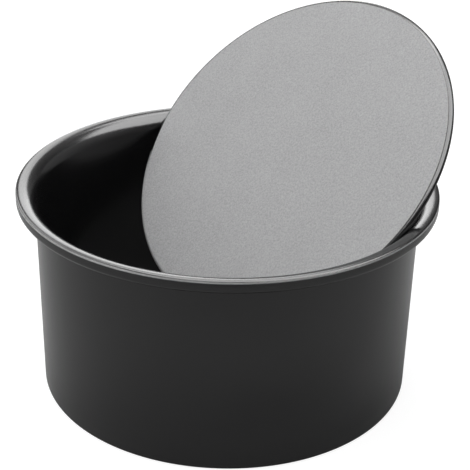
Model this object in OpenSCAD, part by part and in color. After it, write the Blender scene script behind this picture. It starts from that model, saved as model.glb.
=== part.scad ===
// Deep round cake tin with a loose base.
// The tin stands on the ledge that its wall is turned in to at the foot. The base is out of its
// seat: it leans in the mouth, with its rolled edge held between two sides of the flared rim.
// The origin is on the tin's axis, in the plane that the tin stands on.

/* [Tin body] */
// Overall height, from the foot to the crest of the rim
tin_h = 100; // [80:1:160]
// Inside diameter where the straight wall meets the flared rim, the nominal size of the tin
mouth_d = 179.4; // [140:0.1:260]
// Taper of the wall from upright, so that the cake slides out
wall_taper = 1; // [0:0.1:3]
// Thickness of the steel sheet of the body
sheet_t = 0.6; // [0.4:0.05:0.75]

/* [Rim] */
// Radius of the flare, on its face towards the cake
flare_r = 8.1; // [7:0.1:12]
// Outside radius of the tight bend at the rim's outer edge
rim_bend_r = 1.2; // [0.8:0.1:1.5]
// Depth of the rim, from its crest to the underside of the roll
rim_h = 6.5; // [6.2:0.1:8]
// Outside radius of the roll that hides the sheet's cut edge
roll_r = 2.5; // [1.8:0.1:2.6]

/* [Foot] */
// Outside radius of the bend between the wall and the ledge
foot_bend_r = 1.4; // [0.8:0.1:4]
// Width of the ledge that the base rests on, from the wall's inside to the cut edge
ledge_w = 8; // [5:0.5:14]

/* [Loose base] */
// Gap all round between the base and the wall when the base lies on the ledge
base_gap = 1.7; // [0.5:0.1:3]
// Thickness of the steel sheet of the base
base_sheet_t = 0.8; // [0.5:0.1:1.2]
// Outside radius of the base's rolled edge
base_roll_r = 1.8; // [1.5:0.1:2.4]

/* [Leaning base] */
// Angle between the leaning base and the floor, in degrees
lean_tilt = 45; // [38:1:54]
// Compass direction that the base's upper end leans to, in degrees about the tin's axis
lean_turn = 41; // [0:1:360]
// Height of the middle of the base above the crest of the rim
lean_rise = 5.4; // [2:0.1:9]
// Space left between the base's rolled edge and the flare that holds it
seat_gap = 0.15; // [0.05:0.05:0.5]

/* [Hidden] */
$fn = 128;

// Lengths are taken to the nearest micron, so that the bends and straights of a sheet join exactly.
function micron(x) = round(x * 1000) / 1000;

// Section of the body: radii from the axis and heights above the floor, on the sheet's outline.
tin_t = micron(sheet_t);
flare_centre_r = micron(mouth_d / 2 + flare_r);
flare_centre_z = micron(tin_h - flare_r);
rim_outer_r = micron(flare_centre_r + rim_bend_r);
rim_bend_z = micron(tin_h - rim_bend_r);
roll_centre_r = micron(rim_outer_r - roll_r);
roll_centre_z = micron(tin_h - rim_h + roll_r);
mouth_r = micron(flare_centre_r - flare_r);
foot_bend_z = micron(foot_bend_r);
foot_r = micron(mouth_r - (flare_centre_z - foot_bend_z) * tan(wall_taper));
foot_bend_centre_r = micron(foot_r + tin_t - foot_bend_r);
ledge_r = micron(foot_r - ledge_w);

// Section of the base, in its own frame: its flat face at height 0.
base_t = micron(base_sheet_t);
base_r = micron(foot_r - base_gap);
base_roll_centre_r = micron(base_r - base_roll_r);

// Place of the leaning base. Its offset is the distance of its middle from the tin's axis, towards
// lean_turn. The side of the edge that meets the flare is tried at small steps, as turns about the
// base's middle from its upper end.
side_from = 60;
side_to = 140;
side_step = 0.5;
halvings = 16;
lean_z = tin_h + lean_rise;
function edge_point(offset, turn) =
    let (run = base_roll_centre_r * cos(turn))
    [
        offset + run * cos(lean_tilt),
        base_roll_centre_r * sin(turn),
        lean_z + run * sin(lean_tilt)
    ];
function flare_gap(p) =
    let (r = norm([p.x, p.y]))
    norm([r - flare_centre_r, p.z - flare_centre_z]) - flare_r - base_roll_r;
function edge_gap(offset) =
    min([for (turn = [side_from:side_step:side_to]) flare_gap(edge_point(offset, turn))]);
// Halves the span between a clear offset and a touching one until it is down to a few microns.
function seat_offset(clear, touching, left) =
    let (middle = (clear + touching) / 2)
    left == 0 ? clear
    : edge_gap(middle) > seat_gap ? seat_offset(middle, touching, left - 1)
    : seat_offset(clear, middle, left - 1);
lean_offset = seat_offset(0, mouth_r, halvings);

// A quarter of a bent sheet: centre, outside radius, sheet thickness, and the sides that it is on.
module bend(centre, outside_r, t, side) {
    reach = 2 * outside_r;
    translate(centre) intersection() {
        difference() {
            circle(outside_r);
            circle(outside_r - t);
        }
        translate([side.x < 0 ? -reach : 0, side.y < 0 ? -reach : 0]) square(reach);
    }
}

// A straight run of sheet from one end to the other, each end given as its left and right corner.
module run(start, end) {
    polygon([start[0], start[1], end[1], end[0]]);
}

module tin_section() {
    // Ledge that carries the base
    run([[ledge_r, tin_t], [ledge_r, 0]], [[foot_bend_centre_r, tin_t], [foot_bend_centre_r, 0]]);
    bend([foot_bend_centre_r, foot_bend_z], foot_bend_z, tin_t, [1, -1]);
    // Wall, wider at the top
    run([[foot_r, foot_bend_z], [foot_r + tin_t, foot_bend_z]],
        [[mouth_r, flare_centre_z], [mouth_r + tin_t, flare_centre_z]]);
    // Flare out to the crest, then the tight bend down
    bend([flare_centre_r, flare_centre_z], flare_r, tin_t, [-1, 1]);
    bend([flare_centre_r, rim_bend_z], rim_bend_r, tin_t, [1, 1]);
    run([[rim_outer_r, rim_bend_z], [rim_outer_r - tin_t, rim_bend_z]],
        [[rim_outer_r, roll_centre_z], [rim_outer_r - tin_t, roll_centre_z]]);
    // Roll under the flare: three quarters of a turn, which hides the cut edge
    bend([roll_centre_r, roll_centre_z], roll_r, tin_t, [1, -1]);
    bend([roll_centre_r, roll_centre_z], roll_r, tin_t, [-1, -1]);
    bend([roll_centre_r, roll_centre_z], roll_r, tin_t, [-1, 1]);
}

module base_section() {
    run([[0, 0], [0, -base_t]], [[base_roll_centre_r, 0], [base_roll_centre_r, -base_t]]);
    // The edge is rolled under: three quarters of a turn
    bend([base_roll_centre_r, -base_roll_r], base_roll_r, base_t, [1, 1]);
    bend([base_roll_centre_r, -base_roll_r], base_roll_r, base_t, [1, -1]);
    bend([base_roll_centre_r, -base_roll_r], base_roll_r, base_t, [-1, -1]);
}

// Moves the base from its own frame to where it leans in the mouth.
module leaning() {
    rotate([0, 0, lean_turn]) translate([lean_offset, 0, lean_z]) rotate([0, -lean_tilt, 0])
        translate([0, 0, base_roll_r]) children();
}

module tin_body() {
    color([0.2, 0.2, 0.21]) rotate_extrude() tin_section();
}

module loose_base() {
    color([0.62, 0.62, 0.63]) leaning() rotate_extrude() base_section();
}

tin_body();
loose_base();
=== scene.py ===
import math

import bpy
from mathutils import Matrix, Quaternion, Vector


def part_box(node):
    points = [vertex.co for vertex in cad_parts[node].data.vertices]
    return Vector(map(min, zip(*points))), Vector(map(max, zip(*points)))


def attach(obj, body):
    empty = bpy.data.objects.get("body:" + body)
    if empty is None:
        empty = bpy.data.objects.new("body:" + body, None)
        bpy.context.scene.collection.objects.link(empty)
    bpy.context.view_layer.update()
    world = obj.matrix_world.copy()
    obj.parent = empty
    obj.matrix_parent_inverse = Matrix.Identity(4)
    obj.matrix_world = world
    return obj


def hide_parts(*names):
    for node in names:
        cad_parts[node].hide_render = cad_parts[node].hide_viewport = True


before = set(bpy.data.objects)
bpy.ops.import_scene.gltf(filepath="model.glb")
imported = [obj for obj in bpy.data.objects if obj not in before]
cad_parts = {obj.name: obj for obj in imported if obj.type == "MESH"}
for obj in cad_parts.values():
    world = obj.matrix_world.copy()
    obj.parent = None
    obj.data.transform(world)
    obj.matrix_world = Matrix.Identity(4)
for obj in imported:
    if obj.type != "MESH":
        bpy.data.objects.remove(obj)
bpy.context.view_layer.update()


# Tin body
# One piece of drawn steel sheet with a black non-stick coating inside and out. The wall flares out
# into the rim, whose edge is bent down sharply and rolled under, so that the cut is hidden. At the
# foot the wall is turned in to the narrow ledge that carries the base.
tin_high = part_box("tin_body")[1]
crest_z = tin_high.z
rim_outer_r = tin_high.x
sheet_t = 0.0006
flare_r = 0.0081
rim_bend_r = 0.0012
rim_depth = 0.0065
roll_r = 0.0025
wall_taper = math.radians(1)
foot_bend_r = 0.0014
ledge_w = 0.008

flare_centre = (rim_outer_r - rim_bend_r, crest_z - flare_r)
rim_bend_centre = (flare_centre[0], crest_z - rim_bend_r)
roll_centre = (rim_outer_r - roll_r, crest_z - rim_depth + roll_r)
mouth_r = flare_centre[0] - flare_r
foot_r = mouth_r - (flare_centre[1] - foot_bend_r) * math.tan(wall_taper)
foot_bend_centre = (foot_r + sheet_t - foot_bend_r, foot_bend_r)
ledge_r = foot_r - ledge_w

# How finely the mesh follows each stretch of the sheet, and how finely it goes round.
ledge_steps = 4
foot_inside_steps = 8
foot_outside_steps = 10
wall_steps = 12
flare_steps = 32
rim_bend_steps = 10
roll_steps = 36
around_steps = 288
sharp_angle = math.radians(40)


def arc(centre, radius, start, end, steps):
    """Points of a round bend in an outline, from one angle in degrees to another."""
    angles = [math.radians(start + (end - start) * i / steps) for i in range(steps + 1)]
    return [(centre[0] + radius * math.cos(a), centre[1] + radius * math.sin(a)) for a in angles]


def straight(start, end, steps):
    """Points between the two ends of a straight run in an outline, both ends left out."""
    shares = [i / steps for i in range(1, steps)]
    return [tuple(a + (b - a) * share for a, b in zip(start, end)) for share in shares]


def turned(name, outline, closed):
    """A mesh object: an outline of radii and heights, turned about the Z axis.

    Each point also keeps its distance from that axis, by which a coating can tell the edge.
    """
    rings = []
    points = []
    turns = [2 * math.pi * i / around_steps for i in range(around_steps)]
    for radius, height in outline:
        if radius == 0:
            rings.append([len(points)] * around_steps)
            points.append((0, 0, height))
        else:
            rings.append([len(points) + i for i in range(around_steps)])
            points += [(radius * math.cos(a), radius * math.sin(a), height) for a in turns]
    following_rings = rings[1:] + rings[:1] if closed else rings[1:]
    faces = []
    for ring, following in zip(rings, following_rings):
        for i in range(around_steps):
            j = (i + 1) % around_steps
            corners = [ring[i], following[i], following[j], ring[j]]
            faces.append(list(dict.fromkeys(corners)))
    mesh = bpy.data.meshes.new(name)
    mesh.from_pydata(points, [], faces)
    from_axis = mesh.attributes.new("from_axis", "FLOAT", "POINT")
    from_axis.data.foreach_set("value", [math.hypot(x, y) for x, y, _ in points])
    mesh.shade_smooth()
    mesh.set_sharp_from_angle(angle=sharp_angle)
    mesh.validate()
    piece = bpy.data.objects.new(name, mesh)
    bpy.context.scene.collection.objects.link(piece)
    return piece


tin_outline = [
    # Face of the ledge, wall and flare towards the cake
    (ledge_r, sheet_t),
    *straight((ledge_r, sheet_t), (foot_bend_centre[0], sheet_t), ledge_steps),
    *arc(foot_bend_centre, foot_bend_r - sheet_t, -90, 0, foot_inside_steps),
    *straight((foot_r, foot_bend_r), (mouth_r, flare_centre[1]), wall_steps),
    *arc(flare_centre, flare_r, 180, 90, flare_steps),
    # Down the rim's outer edge and round the roll to the cut edge
    *arc(rim_bend_centre, rim_bend_r, 90, 0, rim_bend_steps)[1:],
    *arc(roll_centre, roll_r, 0, -270, roll_steps),
    # Back along the hidden face of the sheet
    *arc(roll_centre, roll_r - sheet_t, -270, 0, roll_steps),
    *arc(rim_bend_centre, rim_bend_r - sheet_t, 0, 90, rim_bend_steps),
    *arc(flare_centre, flare_r - sheet_t, 90, 180, flare_steps)[1:],
    *straight((mouth_r + sheet_t, flare_centre[1]), (foot_r + sheet_t, foot_bend_r), wall_steps),
    *arc(foot_bend_centre, foot_bend_r, 0, -90, foot_outside_steps),
    *straight((foot_bend_centre[0], 0), (ledge_r, 0), ledge_steps),
    (ledge_r, 0),
]
tin = turned("coated_tin", tin_outline, closed=True)


def add(tree, kind, inputs=None, **settings):
    """A node in a material or group. Each input, by name or number, takes a value or an output."""
    node = tree.nodes.new(kind)
    for key, value in settings.items():
        setattr(node, key, value)
    for key, value in (inputs or {}).items():
        if isinstance(value, bpy.types.NodeSocket):
            tree.links.new(value, node.inputs[key])
        else:
            node.inputs[key].default_value = value
    return node


def calc(tree, operation, *terms):
    """The result of one step of arithmetic on numbers and other nodes' outputs."""
    return add(tree, "ShaderNodeMath", dict(enumerate(terms)), operation=operation).outputs[0]


def ramp(tree, value, start, end, low=0.0, high=1.0, shape="LINEAR"):
    """A number that goes from low to high while a value goes from start to end."""
    span = {"Value": value, "From Min": start, "From Max": end, "To Min": low, "To Max": high}
    return add(tree, "ShaderNodeMapRange", span, interpolation_type=shape).outputs["Result"]


def mixed(tree, data_type, share, first, second):
    """A number (FLOAT) or colour (RGBA) between two others: the share is how much of the second."""
    first_input, second_input, output = {"FLOAT": (2, 3, 0), "RGBA": (6, 7, 2)}[data_type]
    inputs = {0: share, first_input: first, second_input: second}
    return add(tree, "ShaderNodeMix", inputs, data_type=data_type).outputs[output]


# The coating's grain: fine flakes and, faintly, broad clouds. Both coatings show it, each at its
# own strength.
flake_detail = 2.0
flake_roughness = 0.6
cloud_detail = 3.0
cloud_roughness = 0.5
cloud_scale_share = 0.03
cloud_share = 0.15
noise_middle = 0.5
coating_grain = bpy.data.node_groups.new("coating_grain", "ShaderNodeTree")
for socket, direction in (
    ("Grain Size", "INPUT"),
    ("Tone Change", "INPUT"),
    ("Roughness", "INPUT"),
    ("Roughness Change", "INPUT"),
    ("Tone", "OUTPUT"),
    ("Roughness", "OUTPUT"),
    ("Height", "OUTPUT"),
):
    coating_grain.interface.new_socket(socket, in_out=direction, socket_type="NodeSocketFloat")
strengths = add(coating_grain, "NodeGroupInput").outputs
on_sheet = add(coating_grain, "ShaderNodeTexCoord").outputs["Object"]
flake_scale = calc(coating_grain, "DIVIDE", 1.0, strengths["Grain Size"])
flakes = add(
    coating_grain,
    "ShaderNodeTexNoise",
    {"Vector": on_sheet, "Scale": flake_scale, "Detail": flake_detail, "Roughness": flake_roughness},
).outputs["Fac"]
cloud_scale = calc(coating_grain, "MULTIPLY", flake_scale, cloud_scale_share)
clouds = add(
    coating_grain,
    "ShaderNodeTexNoise",
    {"Vector": on_sheet, "Scale": cloud_scale, "Detail": cloud_detail, "Roughness": cloud_roughness},
).outputs["Fac"]
faint_clouds = calc(coating_grain, "MULTIPLY", clouds, cloud_share)
both_sizes = calc(coating_grain, "MULTIPLY_ADD", flakes, 1 - cloud_share, faint_clouds)
swing = calc(coating_grain, "SUBTRACT", both_sizes, noise_middle)
tone = calc(coating_grain, "MULTIPLY_ADD", swing, strengths["Tone Change"], 1.0)
gloss = calc(
    coating_grain, "MULTIPLY_ADD", swing, strengths["Roughness Change"], strengths["Roughness"]
)
add(coating_grain, "NodeGroupOutput", {"Tone": tone, "Roughness": gloss, "Height": flakes})

coating_ior = 1.6
grain_height = 0.00002


def coated(name, colour, grain_size, tone_change, roughness, roughness_change, relief):
    """A coating's material: its colour, gloss and surface, broken up by the grain."""
    material = bpy.data.materials.new(name)
    material.use_nodes = True
    tree = material.node_tree
    shader = tree.nodes["Principled BSDF"]
    shader.inputs["IOR"].default_value = coating_ior
    grain = add(
        tree,
        "ShaderNodeGroup",
        {
            "Grain Size": grain_size,
            "Tone Change": tone_change,
            "Roughness": roughness,
            "Roughness Change": roughness_change,
        },
        node_tree=coating_grain,
    ).outputs
    shade = add(
        tree, "ShaderNodeVectorMath", {0: colour, "Scale": grain["Tone"]}, operation="SCALE"
    )
    bump = add(
        tree,
        "ShaderNodeBump",
        {"Strength": relief, "Distance": grain_height, "Height": grain["Height"]},
    )
    tree.links.new(shade.outputs[0], shader.inputs["Base Color"])
    tree.links.new(grain["Roughness"], shader.inputs["Roughness"])
    tree.links.new(bump.outputs["Normal"], shader.inputs["Normal"])
    return material


def on_piece(tree):
    """A point's distance from the axis its piece was turned about, and its height above the foot."""
    radius = add(tree, "ShaderNodeAttribute", attribute_name="from_axis").outputs["Fac"]
    place = add(tree, "ShaderNodeTexCoord").outputs["Object"]
    height = add(tree, "ShaderNodeSeparateXYZ", {0: place}).outputs["Z"]
    return radius, height


black_tone = (0.009, 0.009, 0.0095)
black_roughness = 0.2
black_coating = coated(
    "black_coating",
    colour=black_tone,
    grain_size=0.0008,
    tone_change=2.0,
    roughness=black_roughness,
    roughness_change=0.1,
    relief=0.3,
)
# A paler line is painted along the rim's outer edge: a painted highlight on the sharp edge.
painted_highlight_tone = (0.6, 0.6, 0.6, 1)
highlight_r = rim_outer_r - 0.0005
highlight_top_z = crest_z - 0.0005
highlight_foot_z = crest_z - 0.0012
soft_edge = 0.0002
tree = black_coating.node_tree
shader = tree.nodes["Principled BSDF"]
coat_tone = shader.inputs["Base Color"].links[0].from_socket
radius, height = on_piece(tree)
outside = ramp(tree, radius, highlight_r, highlight_r + soft_edge)
below_top = ramp(tree, height, highlight_top_z, highlight_top_z - soft_edge)
above_foot = ramp(tree, height, highlight_foot_z - soft_edge, highlight_foot_z)
highlight_band = calc(tree, "MULTIPLY", below_top, above_foot)
highlight_mask = calc(tree, "MULTIPLY", highlight_band, outside)
highlighted_tone = mixed(tree, "RGBA", highlight_mask, coat_tone, painted_highlight_tone)
tree.links.new(highlighted_tone, shader.inputs["Base Color"])
tin.data.materials.append(black_coating)
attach(tin, "root")
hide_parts("tin_body")


# Loose base
# One round piece of steel sheet, flat, with its edge rolled under for stiffness. Its face has a
# light grey speckled coating. It is out of its seat: it leans in the mouth, its edge held by two
# sides of the flare.
base_low, base_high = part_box("loose_base")
base_sheet_t = 0.0008
base_roll_r = 0.0018
lean_tilt = math.radians(45)
lean_turn = math.radians(41)
edge_centre = (base_low + base_high) / 2
edge_r = ((base_high.z - base_low.z) / 2 - base_roll_r) / math.sin(lean_tilt)
base_roll_centre = (edge_r, -base_roll_r)
# A ring of points a little inside the roll keeps the shading of the flat face flat.
flat_r = edge_r - 0.0004
flat_steps = 12
base_outline = [
    (0, 0),
    *straight((0, 0), (flat_r, 0), flat_steps),
    (flat_r, 0),
    *arc(base_roll_centre, base_roll_r, 90, -180, roll_steps),
    *arc(base_roll_centre, base_roll_r - base_sheet_t, -180, 90, roll_steps),
    (flat_r, -base_sheet_t),
    *straight((flat_r, -base_sheet_t), (0, -base_sheet_t), flat_steps),
    (0, -base_sheet_t),
]
base = turned("coated_base", base_outline, closed=False)
lean = (
    Matrix.Translation(edge_centre)
    @ Matrix.Rotation(lean_turn, 4, "Z")
    @ Matrix.Rotation(-lean_tilt, 4, "Y")
    @ Matrix.Translation((0, 0, base_roll_r))
)
base.data.transform(lean)

grey_coating = coated(
    "grey_coating",
    colour=(0.285, 0.285, 0.289),
    grain_size=0.0008,
    tone_change=1.15,
    roughness=0.65,
    roughness_change=0.1,
    relief=0.3,
)
# Where the sheet turns into the roll, the roll is painted black like the tin from a height a little
# below the crest upward. This is painted shade where the roll faces away from the light. At the
# base's lower end the light coating runs on round the roll.
shade_start_z = crest_z - 0.022
shade_full_z = crest_z - 0.014
tree = grey_coating.node_tree
shader = tree.nodes["Principled BSDF"]
coat_tone = shader.inputs["Base Color"].links[0].from_socket
coat_roughness = shader.inputs["Roughness"].links[0].from_socket
radius, height = on_piece(tree)
on_roll = ramp(tree, radius, edge_r - soft_edge, edge_r)
high_up = ramp(tree, height, shade_start_z, shade_full_z)
painted_shade_mask = calc(tree, "MULTIPLY", on_roll, high_up)
shaded_edge_tone = mixed(tree, "RGBA", painted_shade_mask, coat_tone, (*black_tone, 1))
edge_roughness = mixed(tree, "FLOAT", painted_shade_mask, coat_roughness, black_roughness)
# In the tin's gloss the sheet shows dark, so that the tin's inside stays black.
mirrored_share = 0.3
rays = add(tree, "ShaderNodeLightPath").outputs
shown_share = calc(tree, "MULTIPLY_ADD", rays["Is Glossy Ray"], mirrored_share - 1, 1.0)
sheet_tone = add(
    tree, "ShaderNodeVectorMath", {0: shaded_edge_tone, "Scale": shown_share}, operation="SCALE"
)
tree.links.new(sheet_tone.outputs[0], shader.inputs["Base Color"])
tree.links.new(edge_roughness, shader.inputs["Roughness"])
base.data.materials.append(grey_coating)
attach(base, "root")
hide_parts("loose_base")


# Floor
# A plain matt floor, a little below the foot, with its front end just out of the picture. It is
# white to the eye and keeps the tin's soft shadow. In the tin's gloss it shows only as it is lit.
floor_size = 12.0
floor_drop = 0.00005
floor_front = 0.31
seen_tone = 0.25
mirrored_tone = 0.45
seen_glow = 0.9
mirrored_glow = 0.04
white = (1, 1, 1, 1)
bpy.ops.mesh.primitive_plane_add(
    size=floor_size, location=(0, floor_size / 2 - floor_front, -floor_drop)
)
floor = bpy.context.object
floor.name = "floor"
floor_material = bpy.data.materials.new("white_floor")
floor_material.use_nodes = True
tree = floor_material.node_tree
tree.nodes.remove(tree.nodes["Principled BSDF"])
rays = add(tree, "ShaderNodeLightPath").outputs
floor_tone = calc(
    tree, "MULTIPLY_ADD", rays["Is Camera Ray"], seen_tone - mirrored_tone, mirrored_tone
)
to_eye = calc(tree, "MULTIPLY", rays["Is Camera Ray"], seen_glow)
and_mirrored = calc(tree, "MULTIPLY_ADD", rays["Is Glossy Ray"], mirrored_glow, to_eye)
and_through = calc(tree, "MULTIPLY_ADD", rays["Is Transmission Ray"], seen_glow, and_mirrored)
matt = add(tree, "ShaderNodeBsdfDiffuse", {"Color": floor_tone}).outputs[0]
glow = add(tree, "ShaderNodeEmission", {"Color": white, "Strength": and_through}).outputs[0]
surface = add(tree, "ShaderNodeAddShader", {0: matt, 1: glow}).outputs[0]
tree.links.new(surface, tree.nodes["Material Output"].inputs["Surface"])
floor.data.materials.append(floor_material)


# Studio light
# A grey tent all round, dim towards the viewer and low down on the right. Two lamps behind the tin
# and one high in front light it, and panels that only show in the gloss give the rim its light
# bands and the dark lines between them. To the eye the tent is white.
tent_level = 0.35
side_level = 0.12
dim_level = 0.08
dim_towards = Vector((0, -0.9, 0.44)).normalized()
dim_from = 0.5
dim_full = 0.8
right_from = 0.1
right_full = 0.6
low_full = 0.25
low_from = 0.7
white_level = 1.0
world = bpy.data.worlds.new("tent")
bpy.context.scene.world = world
world.use_nodes = True
tree = world.node_tree
sky = tree.nodes["Background"]
sky.inputs["Color"].default_value = white
way = add(tree, "ShaderNodeTexCoord").outputs["Generated"]
nearness = add(tree, "ShaderNodeVectorMath", {0: way, 1: dim_towards}, operation="DOT_PRODUCT")
dimmed = ramp(
    tree, nearness.outputs["Value"], dim_from, dim_full, tent_level, dim_level, "SMOOTHSTEP"
)
parts = add(tree, "ShaderNodeSeparateXYZ", {0: way}).outputs
to_right = ramp(tree, parts["X"], right_from, right_full, shape="SMOOTHSTEP")
low_down = ramp(tree, parts["Z"], low_full, low_from, 1.0, 0.0, "SMOOTHSTEP")
dark_side = calc(tree, "MULTIPLY", to_right, low_down)
sided = mixed(tree, "FLOAT", dark_side, dimmed, side_level)
rays = add(tree, "ShaderNodeLightPath").outputs
seen = calc(tree, "MAXIMUM", rays["Is Camera Ray"], rays["Is Transmission Ray"])
shown = mixed(tree, "FLOAT", seen, sided, white_level)
tree.links.new(shown, sky.inputs["Strength"])


def soft_lamp(name, place, aim, size, brightness, tilt=0.0, lights=True, shows=True):
    """A flat lamp that faces its aim and shows at that brightness, where 1 is white.

    One that lights falls on what is matt, and one that shows is mirrored by what is glossy. The
    tilt turns it in its own plane.
    """
    width, height = size
    lamp = bpy.data.lights.new(name, "AREA")
    lamp.shape = "RECTANGLE"
    lamp.size = width
    lamp.size_y = height
    lamp.energy = brightness * math.pi * width * height
    holder = bpy.data.objects.new(name, lamp)
    holder.location = place
    facing = (Vector(aim) - Vector(place)).to_track_quat("-Z", "Y")
    holder.rotation_euler = (facing @ Quaternion((0, 0, 1), tilt)).to_euler()
    holder.visible_diffuse = lights
    holder.visible_glossy = shows
    bpy.context.scene.collection.objects.link(holder)


rim_middle = (0, 0, crest_z)
soft_lamp("high_back_lamp", (-0.15, 0.5, 1.15), rim_middle, (1.2, 0.3), 5.5)
soft_lamp(
    "back_lamp", (-0.045, 0.78, 0.46), (-0.045, 0, 0.46), (0.33, 0.6), 3.3, tilt=math.radians(10)
)
soft_lamp("fill_lamp", (-0.27, -0.42, 1.55), rim_middle, (0.7, 0.7), 6.8, shows=False)
for name, place, aim, size, brightness in (
    ("front_left_panel", (-0.98, -0.46, 0.72), rim_middle, (0.8, 0.6), 3.4),
    ("overhead_panel", (-0.1, -0.21, 1.2), (-0.1, -0.21, 0), (0.9, 1.48), 5.9),
    ("right_panel", (1.05, -0.33, 1.2), (1.05, -0.33, 0), (1.4, 1.66), 6.6),
    ("left_panel", (-0.95, 0.5, 0.65), rim_middle, (1.2, 0.9), 2.6),
):
    soft_lamp(name, place, aim, size, brightness, lights=False)


# Camera
# A long lens in front of the tin, which looks down at the middle of the rim and is held a little
# out of level. The shift puts that middle at its place in the picture.
lens_mm = 103.3
film_width_mm = 36
nearest = 0.01
farthest = 50
view_distance = 0.6349
view_height_angle = math.radians(24.3)
view_roll = math.radians(1.114)
picture_side_px = 470
rim_centre_px = (227.84, 180.74)
camera_data = bpy.data.cameras.new("camera")
camera_data.lens = lens_mm
camera_data.sensor_width = film_width_mm
camera_data.clip_start = nearest
camera_data.clip_end = farthest
camera_data.shift_x = (picture_side_px / 2 - rim_centre_px[0]) / picture_side_px
camera_data.shift_y = (rim_centre_px[1] - picture_side_px / 2) / picture_side_px
camera = bpy.data.objects.new("camera", camera_data)
camera.matrix_world = (
    Matrix.Translation(rim_middle)
    @ Matrix.Rotation(math.pi / 2 - view_height_angle, 4, "X")
    @ Matrix.Rotation(view_roll, 4, "Z")
    @ Matrix.Translation((0, 0, view_distance))
)
bpy.context.scene.collection.objects.link(camera)
bpy.context.scene.camera = camera
bpy.context.scene.view_settings.view_transform = "Standard"
